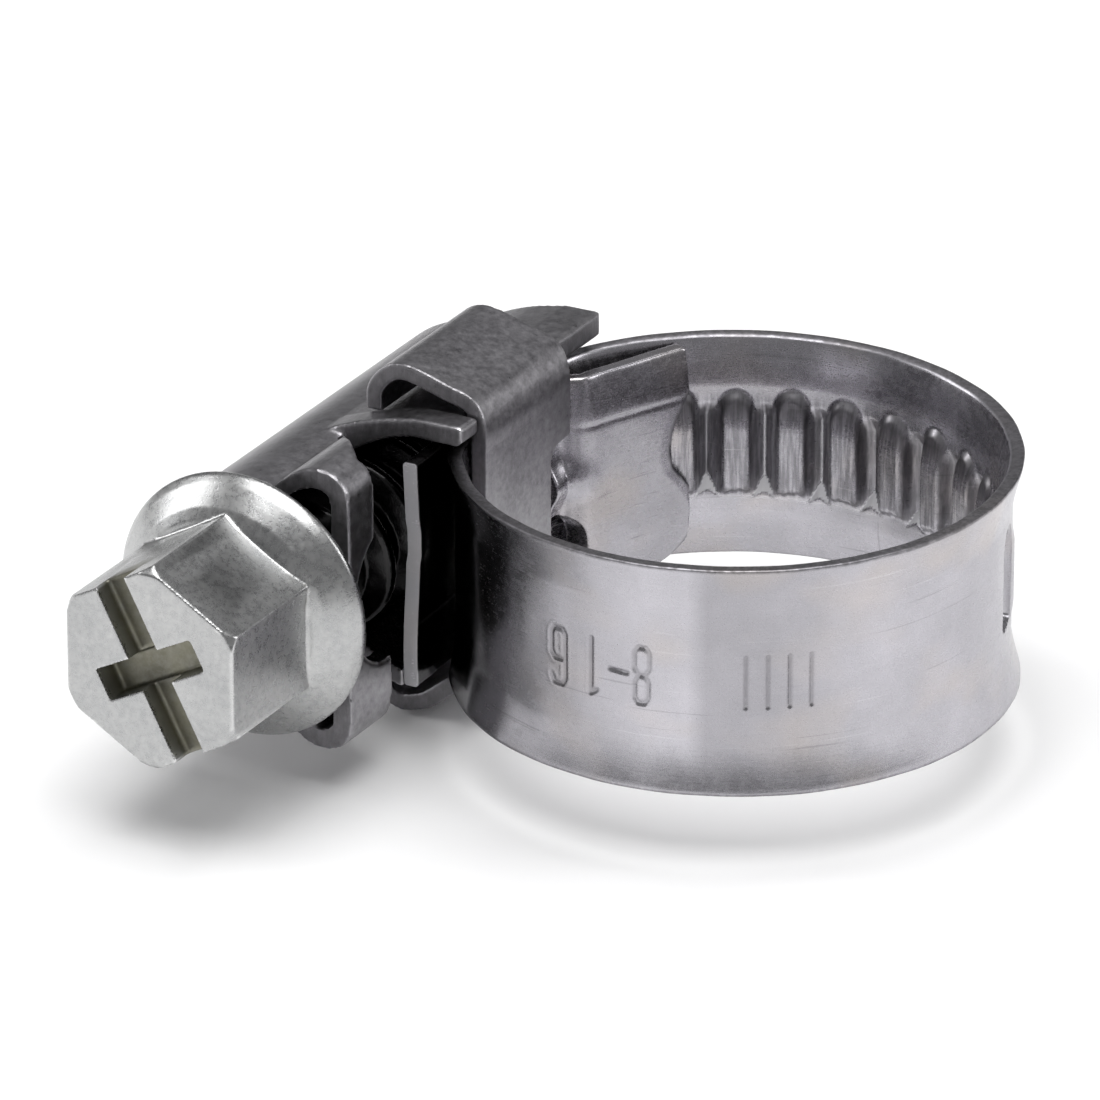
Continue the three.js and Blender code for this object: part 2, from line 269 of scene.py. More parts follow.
# ---- materials ----
class Shader:
    """Small helper that adds nodes to one material."""

    def __init__(self, name):
        self.material = bpy.data.materials.new(name)
        self.material.use_nodes = True
        self.tree = self.material.node_tree
        self.bsdf = self.tree.nodes["Principled BSDF"]

    def node(self, kind, inputs=None, **settings):
        node = self.tree.nodes.new(kind)
        for key, value in settings.items():
            setattr(node, key, value)
        for key, value in (inputs or {}).items():
            self.feed(node.inputs[key], value)
        return node

    def feed(self, socket, value):
        if hasattr(value, "is_output"):
            self.tree.links.new(value, socket)
        else:
            socket.default_value = value

    def math(self, op, a, b=0.0, clamp=False):
        return self.node("ShaderNodeMath", {0: a, 1: b}, operation=op, use_clamp=clamp).outputs[0]

    def mask(self, name):
        return self.node("ShaderNodeAttribute", attribute_name=name).outputs["Fac"]

    def noise(self, vector, scale, detail=3.0, rough=0.55):
        made = self.node(
            "ShaderNodeTexNoise",
            {"Vector": vector, "Scale": scale, "Detail": detail, "Roughness": rough},
        )
        return made.outputs["Fac"]

    def range(self, value, a, b, c, d):
        made = self.node(
            "ShaderNodeMapRange",
            {"Value": value, "From Min": a, "From Max": b, "To Min": c, "To Max": d},
        )
        return made.outputs["Result"]

    def mix(self, factor, a, b):
        made = self.node("ShaderNodeMix", data_type="RGBA")
        self.feed(made.inputs[0], factor)
        self.feed(made.inputs[6], a)
        self.feed(made.inputs[7], b)
        return made.outputs[2]

    def stretch(self, vector, scale):
        made = self.node("ShaderNodeMapping", {"Vector": vector, "Scale": scale})
        return made.outputs[0]


def steel(name, tint, dark, bright, rough, mottling, grain, soil, brushed=False):
    """Metal with mottling, fine grain, worn edges and painted highlights, sheared edges, dirt, painted shade
    and painted shadow, all by masks.
    """
    s = Shader(name)
    place = s.stretch(s.node("ShaderNodeTexCoord").outputs["Object"], (1000, 1000, 1000))
    cloud = s.noise(place, 0.45, 4)
    fleck = s.noise(place, 3.2, 4, 0.7)
    fine = s.noise(place, 14.0, 2, 0.6)
    tone = s.math("ADD", s.math("MULTIPLY", cloud, mottling), s.math("MULTIPLY", fleck, 1 - mottling))
    colour = s.mix(s.range(tone, 0.3, 0.7, 0.0, 1.0), (*dark, 1), (*tint, 1))
    height = s.math("ADD", s.math("MULTIPLY", fleck, 0.5), s.math("MULTIPLY", fine, 0.25))
    gloss = s.math("ADD", s.math("MULTIPLY", fleck, 0.6), s.math("MULTIPLY", fine, 0.4))
    gloss = s.range(gloss, 0.3, 0.7, rough - 0.07, rough + 0.09)
    if brushed:
        # Rolling lines run along the strip; across the thread zone the drawing tool left upright ones.
        along = s.node("ShaderNodeAttribute", attribute_name="strip").outputs["Vector"]
        lines = s.noise(s.stretch(along, (0.35, 9.0, 1.0)), 1.0, 3, 0.6)
        scratches = s.noise(s.stretch(along, (0.9, 22.0, 1.0)), 1.0, 2, 0.8)
        drawn = s.noise(s.stretch(along, (8.0, 0.7, 1.0)), 1.0, 4, 0.65)
        patch = s.noise(s.stretch(along, (0.22, 0.3, 0.2)), 1.0, 2, 0.5)
        colour = s.mix(s.range(patch, 0.5, 0.68, 0.0, 0.35), colour, (0.62, 0.55, 0.50, 1))
        height = s.math("ADD", height, s.math("MULTIPLY", lines, 0.35))
        thread = s.mask("thread")
        height = s.math("ADD", height, s.math("MULTIPLY", s.math("MULTIPLY", drawn, thread), 3.0))
        streak = s.math("MULTIPLY", s.range(drawn, 0.42, 0.62, 0.75, 0.0), thread)
        colour = s.mix(streak, colour, [0.5 * c for c in dark] + [1])
        gloss = s.math("ADD", gloss, s.range(scratches, 0.35, 0.65, -0.03, 0.03), True)
        rub = s.noise(s.stretch(along, (0.14, 7.0, 1.0)), 1.0, 2, 0.6)
        colour = s.mix(s.range(rub, 0.66, 0.74, 0.0, 0.2), colour, (*bright, 1))
        colour = s.mix(s.range(rub, 0.34, 0.28, 0.0, 0.3), colour, [0.4 * c for c in dark] + [1])
    # Painted shade and painted reflection: this mask darkens the colour towards black.
    colour = s.mix(s.math("MULTIPLY", s.mask("haze"), 0.6), colour, (0, 0, 0, 1))
    # Worn edges and painted highlights: this mask lightens the colour towards the bright tint.
    wear = s.mask("wear")
    colour = s.mix(s.math("MULTIPLY", wear, 0.75), colour, (*bright, 1))
    cut = s.mask("cut")
    shear = s.noise(s.stretch(place, (2.2, 2.2, 0.6)), 3.0, 4, 0.7)
    sheared = s.mix(s.range(shear, 0.3, 0.7, 0.0, 1.0), [0.55 * c for c in dark] + [1], (*dark, 1))
    colour = s.mix(s.math("MULTIPLY", cut, 0.6), colour, sheared)
    # Dirt and painted shade: darker towards the dirt colour in hollows, valleys and gaps.
    dent = s.math("MULTIPLY", s.mask("dent"), s.range(fleck, 0.3, 0.6, 0.25, 0.7))
    dirt = s.math("MAXIMUM", s.math("MULTIPLY", s.mask("grime"), s.range(fleck, 0.3, 0.6, 0.8, 1.0)), dent)
    dirt = s.math("MULTIPLY", dirt, s.math("SUBTRACT", 1.0, s.mask("polish")))
    soiled = s.mix(s.range(cloud, 0.35, 0.65, 0.0, 1.0), (*soil, 1), [0.55 * c for c in soil] + [1])
    colour = s.mix(dirt, colour, soiled)
    # Oil and painted shadow: this mask takes the colour to near black.
    oil = s.mask("oil")
    colour = s.mix(oil, colour, (0.012, 0.0115, 0.012, 1))
    s.feed(s.bsdf.inputs["Base Color"], colour)
    s.feed(s.bsdf.inputs["Metallic"], s.math("SUBTRACT", 1.0, s.math("MULTIPLY", s.mask("matte"), 0.85)))
    gloss = s.math("SUBTRACT", gloss, s.math("MULTIPLY", wear, 0.1))
    gloss = s.math("ADD", gloss, s.math("MULTIPLY", cut, 0.14))
    gloss = s.math("ADD", gloss, s.math("MULTIPLY", dirt, 0.2))
    gloss = s.math("SUBTRACT", gloss, s.math("MULTIPLY", oil, 0.1), True)
    height = s.math("ADD", height, s.math("MULTIPLY", s.math("MULTIPLY", shear, cut), 1.2))
    s.feed(s.bsdf.inputs["Roughness"], gloss)
    bump = s.node("ShaderNodeBump", {"Strength": grain, "Distance": 0.00002, "Height": height})
    s.feed(s.bsdf.inputs["Normal"], bump.outputs["Normal"])
    return s.material


band_steel = steel(
    "band steel",
    tint=(0.56, 0.545, 0.585),
    dark=(0.46, 0.45, 0.48),
    bright=(0.86, 0.86, 0.88),
    rough=0.25,
    mottling=0.75,
    grain=0.16,
    soil=(0.045, 0.04, 0.042),
    brushed=True,
)
pressed_steel = steel(
    "pressed steel",
    tint=(0.43, 0.42, 0.44),
    dark=(0.19, 0.185, 0.195),
    bright=(0.84, 0.83, 0.85),
    rough=0.33,
    mottling=0.35,
    grain=0.9,
    soil=(0.02, 0.018, 0.018),
)
zinc = steel(
    "zinc",
    tint=(0.55, 0.55, 0.545),
    dark=(0.36, 0.365, 0.37),
    bright=(0.95, 0.95, 0.94),
    rough=0.28,
    mottling=0.4,
    grain=0.6,
    soil=(0.24, 0.23, 0.165),
)


# ---- band ----
def along_ring(degrees):
    a = np.radians(degrees)
    return np.stack([RING_R * np.cos(a), RING_R * np.sin(a)], -1)


def walk(points):
    """Distances along a plan line, and its unit tangents."""
    points = np.asarray(points, float)
    step = np.linalg.norm(np.diff(points, axis=0), axis=1)
    reach = np.concatenate([[0], np.cumsum(step)])
    tangent = np.gradient(points, reach, axis=0)
    return reach, tangent / np.linalg.norm(tangent, axis=1, keepdims=True)


def levels(low=2.3, high=7.3, step=0.08):
    """Heights across the band, closer together between low and high."""
    plain = np.linspace(0.16, BAND_WIDTH - 0.16, 62)
    return np.sort(np.concatenate([plain[(plain < low) | (plain > high)], np.arange(low, high, step)]))


def strip_loop(heights):
    """The section as (side, z): up the outside, round the top edge, down the inside, round the bottom."""
    r = 0.13
    top = BAND_WIDTH
    half = BAND_THICK / 2
    arc = np.radians([18, 45, 72])
    loop = [(half, z) for z in heights]
    loop += [(half - r + r * math.cos(a), top - r + r * math.sin(a)) for a in arc]
    loop += [(-half + r - r * math.sin(a), top - r + r * math.cos(a)) for a in arc]
    loop += [(-half, z) for z in heights[::-1]]
    loop += [(-half + r - r * math.cos(a), r - r * math.sin(a)) for a in arc]
    loop += [(half - r + r * math.sin(a), r - r * math.cos(a)) for a in arc]
    return np.array(loop)


def lip(z):
    """How far the band's edges lean out, from 0 in the middle to 1 at the edge."""
    t = np.clip((np.abs(z - MID_Z) - (BAND_WIDTH / 2 - LIP_WIDTH)) / LIP_WIDTH, 0, 1)
    return t**1.35


def sweep(points, flare, relief=None, heights=None):
    """A strip along a plan line. relief(s, z, side) moves the sheet's faces outwards, in millimetres."""
    heights = levels() if heights is None else heights
    loop = strip_loop(heights)
    reach, tangent = walk(points)
    outward = np.stack([tangent[:, 1], -tangent[:, 0]], 1)
    s = np.repeat(reach[:, None], len(loop), 1)
    z = np.repeat(loop[None, :, 1], len(reach), 0)
    side = np.repeat(loop[None, :, 0], len(reach), 0)
    offset = side + np.asarray(flare).reshape(-1, 1) * lip(z)
    if relief:
        offset = offset + relief(s, z, side)
    xy = np.asarray(points)[:, None, :] + outward[:, None, :] * offset[..., None]
    rings = np.concatenate([xy, z[..., None]], 2)
    strip = np.stack([s, z, side], 2).reshape(-1, 3)
    return loft(rings), strip


def edge_mask(strip):
    """Cut edges of the strip: the top and bottom faces of the sheet."""
    z = strip[:, 1]
    return np.where((z < 0.06) | (z > BAND_WIDTH - 0.06), 0.3, 0.0)


# The size stamped upside down on the outside, with plain bars beside it. A digit is a list of pen lines on a
# grid one wide and two high; a mark is a glyph, its place in degrees on the ring, and its width.
DIGITS = {
    "8": [
        [(0.7, 1), (0.3, 1), (0, 0.75), (0, 0.2), (0.25, 0), (0.75, 0), (1, 0.2), (1, 0.75), (0.7, 1)],
        [(0.7, 1), (0.95, 1.25), (0.95, 1.8), (0.7, 2), (0.3, 2), (0.05, 1.8), (0.05, 1.25), (0.3, 1)],
    ],
    "1": [[(0.5, 0), (0.5, 2), (0.0, 1.85)]],
    "6": [
        [(0.2, 1.1), (0.75, 1.1), (1, 0.9), (1, 0.2), (0.8, 0), (0.2, 0)],
        [(0.2, 0), (0, 0.2), (0, 1.8), (0.2, 2), (0.8, 2), (1, 1.75)],
    ],
    "-": [[(0.0, 1), (1.0, 0.95)]],
    "|": [[(0.5, 0.1), (0.5, 1.9)]],
}
MARKS = [("6", 258.8, 0.62), ("1", 267.4, 0.45), ("-", 273.0, 0.68), ("8", 278.4, 0.56)]
MARKS += [("|", start, 0.5) for start in (300.0, 304.5, 309.0, 313.5)]
STAMP_LOW = 3.3
STAMP_HALF = 1.1
STAMP_DEPTH = 0.06


def stamp_lines():
    """Stroke ends as (degrees on the ring, z) for the stamped marks."""
    lines = []
    for glyph, start, width in MARKS:
        wide = math.degrees(width / RING_R)
        for pen in DIGITS[glyph]:
            ends = [(start + (1 - x) * wide, STAMP_LOW + (2 - y) * STAMP_HALF) for x, y in pen]
            lines += [(*a, *b) for a, b in zip(ends, ends[1:])]
    return lines


BACK_STEP = math.degrees(PITCH / RING_R)
PAD_DEGS = LAST_PAD_DEG - BACK_STEP * np.arange(PAD_COUNT)

# The front piece: fixed end, then round the front and right of the ring to the split.
join = along_ring(JOIN_DEG)
corner_y = join[1] + (join[0] - FIXED_X) / math.tan(math.radians(JOIN_DEG))
t = np.linspace(0, 1, 13)[:-1, None]
bend = (
    (1 - t) ** 2 * np.array([[FIXED_X, corner_y + 0.3]])
    + 2 * t * (1 - t) * np.array([[FIXED_X, corner_y]])
    + t**2 * join[None]
)
straight = np.array([[FIXED_X, y] for y in np.linspace(1.05, corner_y + 0.4, 12)])
stamp_degs = np.arange(256.5, 318.5, 0.33)
plain_degs = np.arange(JOIN_DEG, 360 + SPLIT_DEG + 0.01, 1.5)
plain_degs = plain_degs[(plain_degs < stamp_degs[0] - 0.5) | (plain_degs > stamp_degs[-1] + 0.5)]
pad_degs = np.arange(360 + 8, 360 + SPLIT_DEG, 0.4)
plain_degs = plain_degs[plain_degs < pad_degs[0]]
ring_degs = np.unique(np.concatenate([plain_degs, stamp_degs, pad_degs, [360 + SPLIT_DEG]]))
front_points = np.concatenate([straight, bend, along_ring(ring_degs)])
front_reach, _ = walk(front_points)
ring_start = len(straight) + len(bend)
front_flare = LIP_FLARE * np.concatenate(
    [
        np.zeros(len(straight)),
        0.85 * smoothstep(0, 0.9, t[:, 0]),
        0.85 + 0.15 * smoothstep(JOIN_DEG, JOIN_DEG + 14, ring_degs),
    ]
)


def thread_form(s, z, centres):
    """At (s, z): height of the pads, depth of the valleys, their sloping feet, and the whole zone."""
    tall = np.zeros_like(s)
    deep = np.zeros_like(s)
    feet = np.zeros_like(s)
    zone = np.zeros_like(s)
    rng = np.random.default_rng(7)
    for i, centre in enumerate(centres):
        tilt, lift, squeeze = rng.uniform(-1, 1, 3)
        u = np.abs(s - centre - (0.02 + 0.02 * tilt) * (z - MID_Z))
        ragged = 0.04 * np.sin(5 * s + 3 * tilt) + 0.02 * np.sin(17 * s + lift)
        bottom = smoothstep(2.6 + ragged, 3.1 + ragged, z)
        arch = np.hypot(u, 0.85 * np.maximum(z - 6.05 - 0.1 * lift, 0))
        body = 1 - smoothstep(0.44 - 0.03 * squeeze, 0.84, arch)
        lean = 1 - 0.42 * smoothstep(5.3, 6.7, z)
        tall = np.maximum(tall, body * lean * bottom)
        if i + 1 < len(centres):
            v = np.abs(s - 0.5 * (centre + centres[i + 1])) / 0.5
            vee = np.clip(1 - v, 0, 1) * np.clip((6.45 - z) / 0.6, 0, 1)
            foot = np.clip((z - 2.5 - 0.08 * tilt - 0.3 * np.clip(1 - v, 0, 1)) / 0.62, 0, 1)
            feet = np.maximum(feet, (foot < vee + 0.04) * smoothstep(0.0, 0.06, foot))
            deep = np.maximum(deep, np.minimum(vee, foot))
        near = 1 - smoothstep(1.08, 1.2, u)
        zone = np.maximum(zone, near * smoothstep(2.5, 2.8, z) * (1 - smoothstep(6.4, 7.1, z)))
    return tall, deep, feet, zone


def pads(s, z, side, centres):
    """Thread ridges raised inwards with valleys between them, and grooves pressed in from outside."""
    tall, deep, _, _ = thread_form(s, z, centres)
    inner = 0.40 * tall - 0.34 * deep
    outer = 0.3 * smoothstep(0.35, 1.0, tall) - 0.1 * deep
    return -np.where(side < 0, inner, outer * (side > 0))


def thread_masks(strip, centres):
    """Darker valleys, painted shade on the pad flanks and crowns, a painted highlight on their sloping feet,
    and drawn streaks all over the thread zone.
    """
    s, z, side = strip.T
    tall, deep, feet, zone = thread_form(s, z, centres)
    inside = side < 0
    flank = smoothstep(0.1, 0.5, tall) * (1 - smoothstep(0.6, 0.95, tall))
    low = zone * np.maximum(0.42 * smoothstep(0.0, 0.3, deep), 0.62 * flank) * (1 - feet)
    crown = 0.4 * smoothstep(0.02, 0.2, tall) * smoothstep(5.7, 6.6, z)
    return {
        "grime": inside * np.maximum(low, crown),
        # The feet are painted light and kept clean: a painted highlight.
        "wear": inside * feet,
        "thread": inside * zone * (1 - feet),
        "polish": inside * feet,
    }


front_start = front_reach[ring_start]


def front_s(degrees):
    """Distance along the front piece of a direction on the ring."""
    return front_start + math.radians(degrees - JOIN_DEG) * RING_R


front_centres = [front_s(360 + d) for d in PAD_DEGS if d < SPLIT_DEG + NEAR_SPLIT]
STROKES = [(front_s(a0), z0, front_s(a1), z1) for a0, z0, a1, z1 in stamp_lines()]


def stroke_gap(s, z):
    """Distance to the nearest stamped stroke."""
    nearest = np.full(s.shape, 9.0)
    for s0, z0, s1, z1 in STROKES:
        ds, dz = s1 - s0, z1 - z0
        t = np.clip(((s - s0) * ds + (z - z0) * dz) / (ds * ds + dz * dz), 0, 1)
        nearest = np.minimum(nearest, np.hypot(s - s0 - t * ds, z - z0 - t * dz))
    return nearest


def unevenness(s, z, phase):
    return 0.012 * np.sin(s * 1.1 + phase) * np.cos(z * 0.6) + 0.008 * np.sin(s * 2.7 + z * 0.9)


def front_relief(s, z, side):
    """Ridges on the right side, stamped marks on the front, and a faint unevenness."""
    gap = stroke_gap(s, z)
    sunk = STAMP_DEPTH * (1 - smoothstep(0.02, 0.12, gap))
    sunk = sunk - 0.014 * np.exp(-(((gap - 0.17) / 0.05) ** 2))
    return pads(s, z, side, front_centres) - np.where(side > 0.2, sunk, 0) + unevenness(s, z, 0.5)


made, strip = sweep(front_points, front_flare, front_relief, levels(2.3, 7.3, 0.065))
front_masks = thread_masks(strip, front_centres)
front_deg = JOIN_DEG + np.degrees((strip[:, 0] - front_start) / RING_R)
outside = strip[:, 2] > 0.1
# Painted reflection and shade round the outside: (degrees on the ring, darkness).
ZONES = [
    (218, 0.5), (250, 0.5), (265, 0.42), (276, 0.2), (281, 0.03), (289.5, 0.05), (293.5, 0.42),
    (312, 0.38), (322, 0.16), (332, 0.06), (350, 0.12), (380, 0.35), (430, 0.2),
]
haze = np.interp(front_deg, *zip(*ZONES)) * outside
# Painted shadow on the outside of the band near its fixed end.
shadow = np.interp(front_deg, [205, 222, 229, 236, 242, 248], [1, 0.97, 0.8, 0.4, 0.3, 0]) * outside
stamped = 0.3 * (1 - smoothstep(0.04, 0.13, stroke_gap(strip[:, 0], strip[:, 1]))) * outside
front = piece(
    "band_ring_front",
    made,
    None,
    "band_steel",
    ["band_front"],
    band_steel,
    strip,
    cut=lambda v, n: edge_mask(strip),
    haze=lambda v, n: haze,
    grime=lambda v, n: np.maximum(front_masks["grime"], stamped),
    oil=lambda v, n: shadow,
    wear=lambda v, n: front_masks["wear"],
    polish=lambda v, n: front_masks["polish"],
    matte=lambda v, n: 0.75 * front_masks["polish"],
    thread=lambda v, n: front_masks["thread"],
)


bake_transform(front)

# The back piece: from the split round the back, then the straight tail under the screw.
back_degs = np.concatenate([np.arange(SPLIT_DEG, 146, 0.4), np.arange(146, 182.01, 1.5), [182.0]])
back_degs = np.unique(back_degs)
seam = along_ring(180 + SEAM_DEG)
lean = math.radians(TAIL_TILT)
tail_len = (seam[1] - TAIL_END_Y) / math.cos(lean)
tail_run = np.array([math.sin(lean), -math.cos(lean)])
tail_points = seam[None] + tail_run[None] * np.linspace(0, tail_len, 64)[1:, None]
back_points = np.concatenate([along_ring(back_degs), tail_points])
back_reach, _ = walk(back_points)
tail_start = back_reach[len(back_degs) - 1]
tail_degs = np.full(len(tail_points), 180 + SEAM_DEG)
back_flare = LIP_FLARE * (1 - smoothstep(150, 180, np.concatenate([back_degs, tail_degs])))
back_centres = [math.radians(d - SPLIT_DEG) * RING_R for d in PAD_DEGS if d > SPLIT_DEG - NEAR_SPLIT]


def back_relief(s, z, side):
    """Ridges and grooves, then grooves only on the tail, with a slightly wavy cut end."""
    moved = pads(s, z, side, back_centres)
    for k in range(3):
        centre = tail_start + 1.0 + PITCH * k
        rim = ((np.abs(s - centre) / 0.6) ** 3 + (np.abs(z - MID_Z) / 1.9) ** 6) ** 0.28
        moved = moved - np.where(side > 0, 0.2 * (1 - smoothstep(0.6, 1.0, rim)), 0)
    near_end = smoothstep(tail_start + tail_len - 1.2, tail_start + tail_len, s)
    wavy = 0.07 * np.sin(z * 0.75 + 0.6) + 0.05 * smoothstep(6.2, 6.8, z) - 0.06 * smoothstep(4.9, 5.4, z)
    moved = moved + near_end * wavy
    return moved + unevenness(s, z, 2.5) * (1 - near_end)


made, strip_back = sweep(back_points, back_flare, back_relief)
end_s = back_reach[-1]
back_masks = thread_masks(strip_back, back_centres)
cut_end = (strip_back[:, 0] > end_s - 0.01) * 1.0
# Painted shade on the tail inside the housing's mouth, fading in from where the tail leaves the ring.
hidden = 0.95 * smoothstep(tail_start + 1.5, tail_start + 5.5, strip_back[:, 0]) * (1 - cut_end)
back = piece(
    "band_ring_back_and_tail",
    made,
    None,
    "band_steel",
    ["band_back", "band_tail"],
    band_steel,
    strip_back,
    cut=lambda v, n: edge_mask(strip_back),
    # Painted shade: the outside of the back piece and tail a little darker.
    haze=lambda v, n: 0.25 * (strip_back[:, 2] > 0.1),
    grime=lambda v, n: back_masks["grime"],
    oil=lambda v, n: hidden,
    # The cut end is painted light and matte: a painted highlight on the sheared face.
    wear=lambda v, n: np.maximum(back_masks["wear"], 0.5 * cut_end),
    polish=lambda v, n: np.maximum(back_masks["polish"], cut_end),
    matte=lambda v, n: np.maximum(0.75 * back_masks["polish"], 0.8 * cut_end),
    thread=lambda v, n: back_masks["thread"],
)
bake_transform(back)


# ---- tongue ----
def curve_through(points, samples):
    """A smooth plan line through points, evenly sampled."""
    p = np.asarray(points, float)
    p = np.concatenate([2 * p[:1] - p[1:2], p, 2 * p[-1:] - p[-2:-1]])
    out = []
    for i in range(1, len(p) - 2):
        t = np.linspace(0, 1, 24, endpoint=False)[:, None]
        a, b, c, d = p[i - 1], p[i], p[i + 1], p[i + 2]
        cubic = (2 * a - 5 * b + 4 * c - d) * t**2 + (3 * b - a - 3 * c + d) * t**3
        out.append(0.5 * (2 * b + (c - a) * t + cubic))
    out.append(p[-2:-1])
    line = np.concatenate(out)
    reach = np.concatenate([[0], np.cumsum(np.linalg.norm(np.diff(line, axis=0), axis=1))])
    even = np.linspace(0, reach[-1], samples)
    return np.stack([np.interp(even, reach, line[:, k]) for k in range(line.shape[1])], 1)


def quadratic(a, b, c, steps=10):
    t = np.linspace(0, 1, steps, endpoint=False)[:, None]
    a, b, c = map(np.array, (a, b, c))
    return [tuple(p) for p in (1 - t) ** 2 * a + 2 * t * (1 - t) * b + t**2 * c]


tongue_line = curve_through(
    [
        (FIXED_X, 1.2),
        (FIXED_X, 1.8),
        (FIXED_X + 0.18, 2.3),
        (FIXED_X + 0.65, 2.56),
        (-7.85, 2.85),
        (-7.42, 3.85),
        (-6.68, 5.5),
        (-5.98, 7.04),
    ],
    110,
)
outline = [(1.1, 3.5), (1.8, 3.5)]
outline += quadratic((1.8, 3.5), (2.55, 3.3), (2.62, 2.4))[1:]
outline += [(2.62, 2.4), (2.7, 0.1), (5.2, 0.1)]
tip_edge = quadratic((5.2, 0.1), (7.3, 0.3), (7.35, 2.6))[1:]
tip_edge += quadratic((7.35, 2.6), (6.9, 3.6), (6.3, 4.2))
tip_edge += quadratic((6.3, 4.2), (5.9, 5.2), (6.5, 6.4))
tip_edge += quadratic((6.5, 6.4), (7.3, 7.4), (7.5, 8.9))
outline += [*tip_edge, (7.5, 8.9), (1.1, 8.9)]
tongue_reach, _ = walk(tongue_line)


def tongue_relief(s, z, side):
    """A folded corner where the step is drawn, creases below it, and an edge that curls away at the tip."""
    edge = np.interp(z, [p[1] for p in tip_edge], [p[0] for p in tip_edge])
    inset = edge - np.interp(s, tongue_reach, tongue_line[:, 1])
    curl = 0.05 * (1 - smoothstep(0.0, 0.5, inset))
    fold = 0.5 * (1 - smoothstep(0.4, 2.9, s)) * np.exp(-(((z - 4.75) / 0.75) ** 2))
    crease = 0.035 * np.exp(-(((s - 2.5) / 1.0) ** 2) - ((z - 4.05 - 0.25 * (s - 2.3)) / 0.2) ** 2)
    crease += 0.045 * np.exp(-(((z - 7.0) / 0.1) ** 2)) * smoothstep(1.4, 2.4, s)
    swell = 0.05 * np.sin(s * 1.3) * np.cos((z - MID_Z) * 0.5)
    return fold - crease + swell - curl


tongue_flare = -TONGUE_FLARE * smoothstep(0.6, 2.8, tongue_reach)
made, _ = sweep(tongue_line, tongue_flare, tongue_relief, levels(3.2, 6.2, 0.07))
blank = scratch(*made)
keep_in = blank.modifiers.new("outline", "BOOLEAN")
keep_in.operation = "INTERSECT"
keep_in.solver = "EXACT"
keep_in.use_self = True
keep_in.object = prism(outline, -14, -2, "x")
shaped = scratch(*read(blank))
discard(keep_in.object)
discard(blank)
ring_band = []
near, far = RIDGE_REACH - 0.12, RIDGE_REACH + 2
for r, z in [(near, 2.3), (far, 2.3), (far, 6.9), (near, 6.9)]:
    a = np.linspace(0, 2 * math.pi, 144, endpoint=False)
    ring_band.append(np.stack([r * np.cos(a), r * np.sin(a), np.full(144, z)], 1))
relief_ring = scratch(*loft(ring_band + ring_band[:1], caps=False))
tongue_made = fuse([shaped], [relief_ring], voxel=0.05, smooth=14, keep=0.7)


def tongue_rim(v, n):
    """Shade on the curled rim of the tip and in the gap behind the tongue."""
    edge = np.interp(v[:, 2], [p[1] for p in tip_edge], [p[0] for p in tip_edge])
    behind = smoothstep(0.2, 0.6, -n[:, 0])
    return np.maximum(0.6 * (1 - smoothstep(0.04, 0.3, edge - v[:, 1])) * (v[:, 2] < 8), 0.9 * behind)


tongue = piece(
    "band_end_tongue",
    tongue_made,
    None,
    "band_steel",
    ["band_tongue"],
    band_steel,
    tongue_made[0][:, [1, 2, 0]],
    grime=tongue_rim,
    # Painted shade: the tongue a little darker all over, and more on the lip along its top edge.
    haze=lambda v, n: 0.18 + 0.12 * smoothstep(7.05, 7.2, v[:, 2]) * smoothstep(2.6, 3.4, v[:, 1]),
)
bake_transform(tongue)

# ---- screw ----
hex_corner = HEX_FLATS / math.sqrt(3)
hexagon = prism(
    [
        (SCREW_X + hex_corner * math.sin(k * math.pi / 3), MID_Z + hex_corner * math.cos(k * math.pi / 3))
        for k in range(6)
    ],
    HEAD_Y,
    FLANGE_BACK_Y - 0.6,
)
head_cone = lathe(
    [
        (0.02, HEAD_Y),
        (HEX_FLATS / 2 + 0.26, HEAD_Y),
        (HEX_FLATS / 2 + 0.32, HEAD_Y + 0.04),
        (HEX_FLATS / 2 + 0.46, HEAD_Y + 0.22),
        (hex_corner + 0.06, HEAD_Y + 0.55),
        (hex_corner + 0.06, FLANGE_BACK_Y - 0.3),
        (0.02, FLANGE_BACK_Y - 0.3),
    ]
)
chamfer = hexagon.modifiers.new("chamfer", "BOOLEAN")
chamfer.operation = "INTERSECT"
chamfer.solver = "EXACT"
chamfer.object = head_cone
head = scratch(*read(hexagon))
discard(hexagon)
discard(head_cone)
flange = lathe(
    [
        (0.02, FLANGE_BACK_Y - 1.8),
        (3.3, FLANGE_BACK_Y - 1.72),
        (3.8, FLANGE_BACK_Y - 1.6),
        (4.2, FLANGE_BACK_Y - 1.36),
        (4.55, FLANGE_BACK_Y - 1.04),
        (4.9, FLANGE_BACK_Y - 0.7),
        (FLANGE_R - 0.04, FLANGE_BACK_Y - 0.42),
        (FLANGE_R, FLANGE_BACK_Y - 0.28),
        (FLANGE_R - 0.05, FLANGE_BACK_Y - 0.1),
        (FLANGE_R - 0.3, FLANGE_BACK_Y),
        (0.02, FLANGE_BACK_Y),
    ],
    144,
)
shank = lathe(
    [
        (0.02, FLANGE_BACK_Y - 0.3),
        (2.55, FLANGE_BACK_Y - 0.3),
        (2.55, COLLAR_Y + 0.75),
        (2.35, COLLAR_Y + 1.0),
        (2.35, 4.5),
        (1.5, 5.15),
        (0.02, 5.15),
    ]
)
turns = 6.2
helix = []
